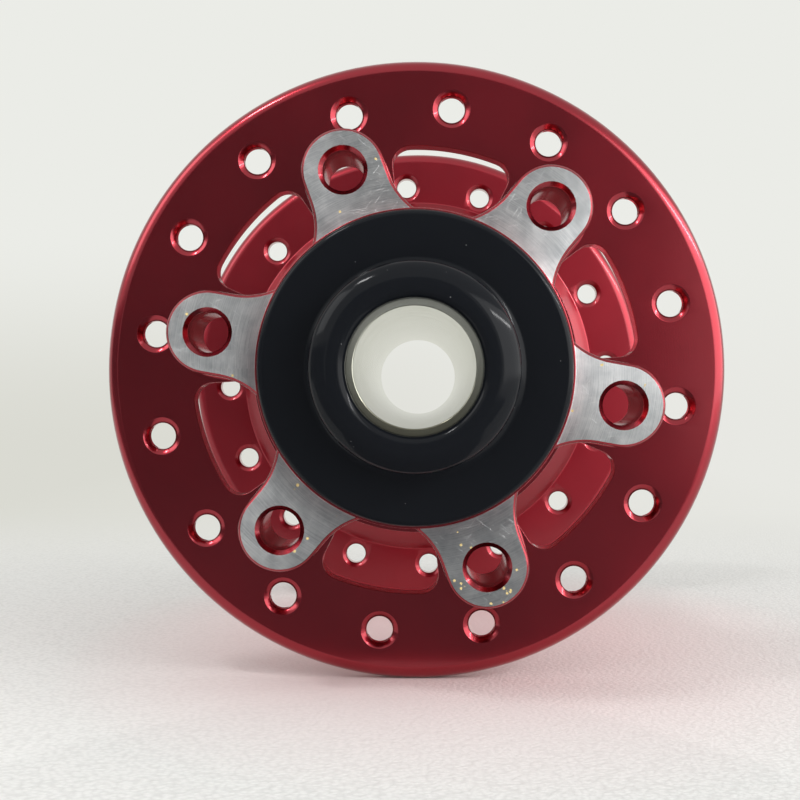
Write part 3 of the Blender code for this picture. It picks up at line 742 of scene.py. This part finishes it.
# Cartridge bearing: two ground races, a moulded cage of balls, and a ribbed rubber seal each side.
bearing = {
    "centre": 36.2, "halfWidth": 3.5, "bore": 8.5, "outside": 15, "pitch": 11.75, "track": 2.05,
    "trackFill": 0.999,  # a hair less than the whole, so that its ends don't meet the corners
    "lip": 1.35, "lipEdge": 0.12, "faceEdge": 0.3, "steps": 96, "raceSteps": 8,
    "ball": 1.75, "balls": 12, "ballSubdivisions": 4,
    "cageHalf": 0.8, "cageFront": 1, "cageBack": 2.4, "cageFrontEdge": 0.1, "cageBackEdge": 0.15,
    "pocketSteps": 32,
    "seal": (2.7, 3.2), "sealRadii": (10.7, 12.8), "sealBackEdge": 0.1, "sealEdge": 0.12,
    "rib": 0.12, "ribHalf": (0.3, 0.45), "ribEdge": 0.06,  # depth, half width at the bottom and top
    "softSteps": 3,  # round the seals' and cages' edges
}


def atBearing(section, side, facing):
    centre = side * bearing["centre"]
    return [(radius, centre + facing * along, rounding) for radius, along, rounding in section]


def race(name, side, node, body, wall, direction):
    # the track's two straight tangents meet at the middle corner, and its rounding is the track
    half, pitch, track, lip = bearing["halfWidth"], bearing["pitch"], bearing["track"], bearing["lip"]
    face, edge = bearing["faceEdge"], bearing["lipEdge"]
    turn = math.acos(lip / track)
    low = pitch - direction * lip
    section = [(wall, half, face), (low, half, edge), (low, track * math.sin(turn), 0),
               (pitch - direction * track / math.cos(turn), 0, track * bearing["trackFill"]),
               (low, -track * math.sin(turn), 0), (low, -half, edge), (wall, -half, face)]
    shape = lathe(atBearing(section, side, 1), bearing["steps"], bearing["raceSteps"])
    finishPiece(makeObject(name, shape, [steelFinish]), body, node)


def seal(name, side, facing, node):
    low, high = bearing["sealRadii"]
    back, front = bearing["seal"]
    backEdge, edge, ribEdge = bearing["sealBackEdge"], bearing["sealEdge"], bearing["ribEdge"]
    middle, bottom = (low + high) / 2, front - bearing["rib"]
    narrow, wide = bearing["ribHalf"]
    section = [(low, back, backEdge), (low, front, edge), (middle - wide, front, ribEdge),
               (middle - narrow, bottom, ribEdge), (middle + narrow, bottom, ribEdge),
               (middle + wide, front, ribEdge), (high, front, edge), (high, back, backEdge)]
    shape = lathe(atBearing(section, side, facing), bearing["steps"], bearing["softSteps"])
    finishPiece(makeObject(name, shape, [rubberFinish]), "shell", node)


def cage(name, side, node, body):
    low, high = bearing["pitch"] - bearing["cageHalf"], bearing["pitch"] + bearing["cageHalf"]
    backEdge, frontEdge = bearing["cageBackEdge"], bearing["cageFrontEdge"]
    centre = side * bearing["centre"]
    back, front = centre + side * bearing["cageBack"], centre - side * bearing["cageFront"]
    section = [(low, back, backEdge), (high, back, backEdge),
               (high, front, frontEdge), (low, front, frontEdge)]
    blank = makeObject(name, lathe(section, bearing["steps"], bearing["softSteps"]), [nylonFinish])
    # the pocket lies along X, turned by half a step so that its points miss the blank's own
    lying = Matrix.Rotation(math.radians(90), 4, "Y")
    halfStep = Matrix.Rotation(math.pi / bearing["pocketSteps"], 4, "Z")
    pocket = bmesh.new()
    bmesh.ops.create_cone(pocket, cap_ends=True, segments=bearing["pocketSteps"],
                          radius1=bearing["track"] * mm, radius2=bearing["track"] * mm,
                          depth=4 * bearing["cageHalf"] * mm, matrix=lying @ halfStep)
    around(pocket, bearing["pitch"], bearing["balls"], 0)
    bmesh.ops.translate(pocket, verts=pocket.verts, vec=(0, centre * mm, 0))
    machine(blank, [("DIFFERENCE", makeObject("pockets", pocket, [nylonFinish]))])
    finishPiece(blank, body, node)


def ball(name, side, index, node, body):
    shape = bmesh.new()
    bmesh.ops.create_icosphere(shape, subdivisions=bearing["ballSubdivisions"],
                               radius=bearing["ball"] * mm)
    bmesh.ops.translate(shape, verts=shape.verts, vec=(0, side * bearing["centre"] * mm, 0))
    around(shape, bearing["pitch"], 1, 360 * index / bearing["balls"])
    finishPiece(makeObject(name, shape, [ballFinish]), body, node)


axleTube()
for sideName, side in (("disc", -1), ("plain", 1)):
    cad, body = sideName + "_side_", sideName + "_side_cage"
    endCap(sideName + "SideCap", side, cad + "end_cap")
    capRing(sideName + "SideCapRing", side, cad + "cap_o_ring")
    race(sideName + "SideInnerRace", side, cad + "bearing_inner_race", "axle", bearing["bore"], 1)
    race(sideName + "SideOuterRace", side, cad + "bearing_outer_race", "shell", bearing["outside"], -1)
    seal(sideName + "SideOutsideSeal", side, side, cad + "bearing_outside_seal")
    seal(sideName + "SideInsideSeal", side, -side, cad + "bearing_inside_seal")
    cage(sideName + "SideCage", side, cad + "bearing_cage", body)
    for index in range(bearing["balls"]):
        ball(f"{sideName}SideBall{index + 1:02d}", side, index, f"{cad}ball_{index + 1:02d}", body)
    print(sideName, "side cap and bearing made")


# Floor: white foam sheet that curves up into the backdrop well behind the hub.
floor = {
    "level": -34.2, "front": -900, "back": 420, "halfWidth": 1100, "bend": 260, "bendSteps": 32, "rise": 900,
    "colours": ("#e6e6e4", "#d6d6d4"),  # left and right
    "backdrop": ("#dadad2", "#e8e8e3", "#ebece7"),  # painted glow: low at the left, darkest there as a painted shadow of the hub; low at the right; high up
    "backdropFrom": (40, 200),  # how far behind the hub its tone starts and is full
    "backdropRise": (-34, 90),  # heights of the low tones and of the high one
    "backdropSpan": 120,  # how far to each side the left and right tones lie
    "surround": (95, 230),  # how far out, all round, its tone starts and is full
    "cell": 0.55, "cellDepth": 0.08, "cellStrength": 0.7, "cellSmoothness": 0.4,
    "crumb": 0.28, "crumbDepth": 0.07, "crumbStrength": 0.6,
    "pits": (0.2, 0.8), "speckle": 0.9,  # the cells' hollows and crests differ in tone
    "roughness": 0.7,
    "paintedRedLight": "#eddbda", "paintedRedLightPlace": (6, -4), "paintedRedLightReach": (54, 82),  # painted red light: a pink tint round the hub, for the light it reflects
    "paintedRedLightFade": (0.08, 0.64),
}


def sheetShape():
    front, level = floor["front"] * mm, floor["level"] * mm
    shape = bmesh.new()
    ends = [shape.verts.new((side * floor["halfWidth"] * mm, front, level)) for side in (-1, 1)]
    first = shape.edges.new(ends)
    made = bmesh.ops.extrude_edge_only(shape, edges=[first])["geom"]
    verts = pick(made, bmesh.types.BMVert)
    bmesh.ops.translate(shape, verts=verts, vec=(0, (floor["back"] - floor["front"]) * mm, 0))
    edges = [edge for edge in pick(made, bmesh.types.BMEdge) if all(v in verts for v in edge.verts)]
    centre = (0, floor["back"] * mm, (floor["level"] + floor["bend"]) * mm)
    made = bmesh.ops.spin(shape, geom=verts + edges, cent=centre, axis=(1, 0, 0),
                          angle=math.radians(90), steps=floor["bendSteps"])["geom_last"]
    made = bmesh.ops.extrude_edge_only(shape, edges=pick(made, bmesh.types.BMEdge))["geom"]
    verts = pick(made, bmesh.types.BMVert)
    bmesh.ops.translate(shape, verts=verts, vec=(0, 0, floor["rise"] * mm))
    bmesh.ops.recalc_face_normals(shape, faces=shape.faces)
    return shape


def makeFoam(name, look):
    material, tree, shader, place = startMaterial(name)
    cells = addNode(tree, "TexVoronoi", {"feature": "SMOOTH_F1", "Scale": 1 / (look["cell"] * mm),
                                         "Smoothness": look["cellSmoothness"]}, {"Vector": place})
    crumbs = addNode(tree, "TexNoise", {"Scale": 1 / (look["crumb"] * mm), "Detail": 2}, {"Vector": place})
    dented = addNode(tree, "Bump", {"Strength": look["cellStrength"], "Distance": look["cellDepth"] * mm,
                                    "invert": True}, {"Height": cells.outputs["Distance"]})
    fine = addNode(tree, "Bump", {"Strength": look["crumbStrength"], "Distance": look["crumbDepth"] * mm},
                   {"Height": crumbs.outputs["Fac"], "Normal": dented.outputs["Normal"]})
    # painted light: a pink tint round the hub stands in for the red light it throws on the sheet
    x, y = look["paintedRedLightPlace"]
    wide, deep = look["paintedRedLightReach"]
    spot = addNode(tree, "Mapping", {"vector_type": "TEXTURE",
                                     "Location": (x * mm, y * mm, look["level"] * mm),
                                     "Scale": (wide * mm, deep * mm, wide * mm)}, {"Vector": place})
    fade = addNode(tree, "TexGradient", {"gradient_type": "SPHERICAL"}, {"Vector": spot.outputs["Vector"]})
    outer, inner = look["paintedRedLightFade"]
    paintedRedLight = addNode(tree, "MapRange", {"From Min": outer, "From Max": inner},
                    {"Value": fade.outputs["Fac"]})
    parts = addNode(tree, "SeparateXYZ", {}, {0: place})
    span = look["backdropSpan"] * mm
    side = addNode(tree, "MapRange", {"From Min": -span, "From Max": span}, {"Value": parts.outputs["X"]})
    hollow, crest = look["pits"]
    pits = addNode(tree, "MapRange", {"From Min": hollow, "From Max": crest, "To Min": -look["speckle"] / 2,
                                      "To Max": look["speckle"] / 2}, {"Value": cells.outputs["Distance"]})
    speckled = addNode(tree, "Math", {"operation": "ADD"},
                       {0: side.outputs["Result"], 1: pits.outputs["Result"]})
    left, right = look["colours"]
    bare = addNode(tree, "Mix", {"data_type": "RGBA", 6: linear(left), 7: linear(right)},
                   {0: speckled.outputs["Value"]})
    sheetTone = addNode(tree, "Mix", {"data_type": "RGBA", 7: linear(look["paintedRedLight"])},
                        {0: paintedRedLight.outputs["Result"], 6: bare.outputs[2]})
    shader.inputs["Roughness"].default_value = look["roughness"]
    tree.links.new(sheetTone.outputs[2], shader.inputs["Base Color"])
    tree.links.new(fine.outputs["Normal"], shader.inputs["Normal"])
    addBackdrop(tree, look, shader, place, parts, side)
    return material


# Seen directly, or in metal, the part of the sheet behind the hub glows with a painted tone of its own
# instead of being lit: darker low down, and darkest low at the left, as a painted shadow of the hub.
def addBackdrop(tree, look, shader, place, parts, side):
    smooth = {"interpolation_type": "SMOOTHSTEP"}
    near, far = look["backdropFrom"]
    away = addNode(tree, "MapRange", {**smooth, "From Min": near * mm, "From Max": far * mm},
                   {"Value": parts.outputs["Y"]})
    low, high = look["backdropRise"]
    rise = addNode(tree, "MapRange", {**smooth, "From Min": low * mm, "From Max": high * mm},
                   {"Value": parts.outputs["Z"]})
    left, right, top = look["backdrop"]
    base = addNode(tree, "Mix", {"data_type": "RGBA", 6: linear(left), 7: linear(right)},
                   {0: side.outputs["Result"]})
    tone = addNode(tree, "Mix", {"data_type": "RGBA", 7: linear(top)},
                   {0: rise.outputs["Result"], 6: base.outputs[2]})
    glow = addNode(tree, "Emission", {}, {"Color": tone.outputs[2]})
    path = addNode(tree, "LightPath")
    seen = addNode(tree, "Math", {"operation": "MAXIMUM"},
                   {0: path.outputs["Is Camera Ray"], 1: path.outputs["Is Glossy Ray"]})
    seenToo = addNode(tree, "Math", {"operation": "MAXIMUM"},
                      {0: seen.outputs["Value"], 1: path.outputs["Is Transmission Ray"]})
    behind = addNode(tree, "Math", {"operation": "MULTIPLY"},
                     {0: seenToo.outputs["Value"], 1: away.outputs["Result"]})
    # the same painted glow all round, from further out and for the camera only, so that the sheet by the
    # panels doesn't glare
    flat = addNode(tree, "VectorMath", {"operation": "MULTIPLY", 1: (1, 1, 0)}, {0: place})
    reach = addNode(tree, "VectorMath", {"operation": "LENGTH"}, {0: flat.outputs["Vector"]})
    near, far = look["surround"]
    outside = addNode(tree, "MapRange", {**smooth, "From Min": near * mm, "From Max": far * mm},
                      {"Value": reach.outputs["Value"]})
    beside = addNode(tree, "Math", {"operation": "MULTIPLY"},
                     {0: path.outputs["Is Camera Ray"], 1: outside.outputs["Result"]})
    share = addNode(tree, "Math", {"operation": "MAXIMUM"},
                    {0: behind.outputs["Value"], 1: beside.outputs["Value"]})
    whole = addNode(tree, "MixShader", {}, {0: share.outputs["Value"], 1: shader.outputs["BSDF"],
                                            2: glow.outputs["Emission"]})
    tree.links.new(whole.outputs["Shader"], tree.nodes["Material Output"].inputs["Surface"])


sheet = makeObject("floorSheet", sheetShape(), [makeFoam("white foam sheet", floor)])
sheet.data.shade_smooth()
print("floor laid")


# Studio: an even pale room with soft panels. Each is placed by its angle round the axle from +X
# and its angle off the line from the hub to the camera. Grey felts, seen only in reflections, stand in front
# and at the left and lie on the floor before the hub: painted dark reflections, so that flat metal reads
# dark and its edges bright.
studio = {
    "room": "#e6e6e4",
    "roomStrength": 1,
    "panels": {  # angle round, angle off the line, distance, size across and up, radiance
        "rightPanel": (13, 64, 450, (760, 380), 2.1),
        "rightTube": (29, 62, 430, (340, 13), 28),
        "leftTube": (120, 67, 430, (84, 28), 36),
        "leftPanel": (145, 71, 450, (220, 220), 2.1),
    },
    "feltRoughness": 0.9,
    "felts": {  # colour, corners
        "frontDarkReflection": ("#767779", ((-240, -520, -34), (120, -520, -34), (120, -520, 260),
                                  (-240, -520, 260))),
        "floorDarkReflection": ("#68696b", ((-280, -520, -34), (-280, -80, -34), (-40, -76, -34),
                                  (-30, -58, -34), (-17, -44, -34), (-8, -40, -34), (8, -40, -34),
                                  (17, -45, -34), (30, -66, -34), (40, -100, -34),
                                  (100, -120, -34), (120, -520, -34))),
        "leftDarkReflection": ("#6c6d70", ((-280, -520, -34), (-280, -520, 90), (-300, -40, 60),
                                 (-300, -40, -34))),
    },
}


def makeRoom():
    world = bpy.data.worlds.new("pale room")
    bpy.context.scene.world = world
    world.use_nodes = True
    background = world.node_tree.nodes["Background"]
    background.inputs["Color"].default_value = linear(studio["room"])
    background.inputs["Strength"].default_value = studio["roomStrength"]


def makePanel(name, turn, off, distance, size, radiance):
    across, up = size
    light = bpy.data.lights.new(name, "AREA")
    light.shape, light.size, light.size_y = "RECTANGLE", across * mm, up * mm
    light.energy = radiance * math.pi * light.size * light.size_y
    lamp = bpy.data.objects.new(name, light)
    bpy.context.scene.collection.objects.link(lamp)
    off, turn = math.radians(off), math.radians(turn)
    lamp.location = Vector((math.sin(off) * math.cos(turn), -math.cos(off),
                            math.sin(off) * math.sin(turn))) * distance * mm
    lamp.rotation_euler = lamp.location.to_track_quat("Z", "Y").to_euler()


def makeFelt(name, colour, corners):
    material, _, shader, _ = startMaterial(name)
    shader.inputs["Base Color"].default_value = linear(colour)
    shader.inputs["Roughness"].default_value = studio["feltRoughness"]
    shape = bmesh.new()
    verts = [shape.verts.new(Vector(corner) * mm) for corner in corners]
    bmesh.ops.contextual_create(shape, geom=verts)
    felt = makeObject(name, shape, [material])
    felt.visible_camera = felt.visible_diffuse = felt.visible_shadow = False  # only dims reflections


makeRoom()
for name, panel in studio["panels"].items():
    makePanel(name, *panel)
for name, felt in studio["felts"].items():
    makeFelt(name, *felt)
print("studio lit")


# Camera: level with the axle, a little to the right of it, looking along it from the disc side.
view = {"place": (0.82, -189.5, -2.34), "turn": 0.913, "dip": 0.354, "lens": 64.9, "sensor": 36,
        "clip": (0.01, 10)}  # metres


def makeCamera():
    data = bpy.data.cameras.new("camera")
    data.lens, data.sensor_width, data.sensor_fit = view["lens"], view["sensor"], "HORIZONTAL"
    data.clip_start, data.clip_end = view["clip"]
    camera = bpy.data.objects.new("camera", data)
    bpy.context.scene.collection.objects.link(camera)
    camera.location = Vector(view["place"]) * mm
    camera.rotation_euler = (math.radians(90 - view["dip"]), 0, math.radians(view["turn"]))
    bpy.context.scene.camera = camera
    bpy.context.scene.view_settings.view_transform = "Standard"


makeCamera()

print("scene ready")
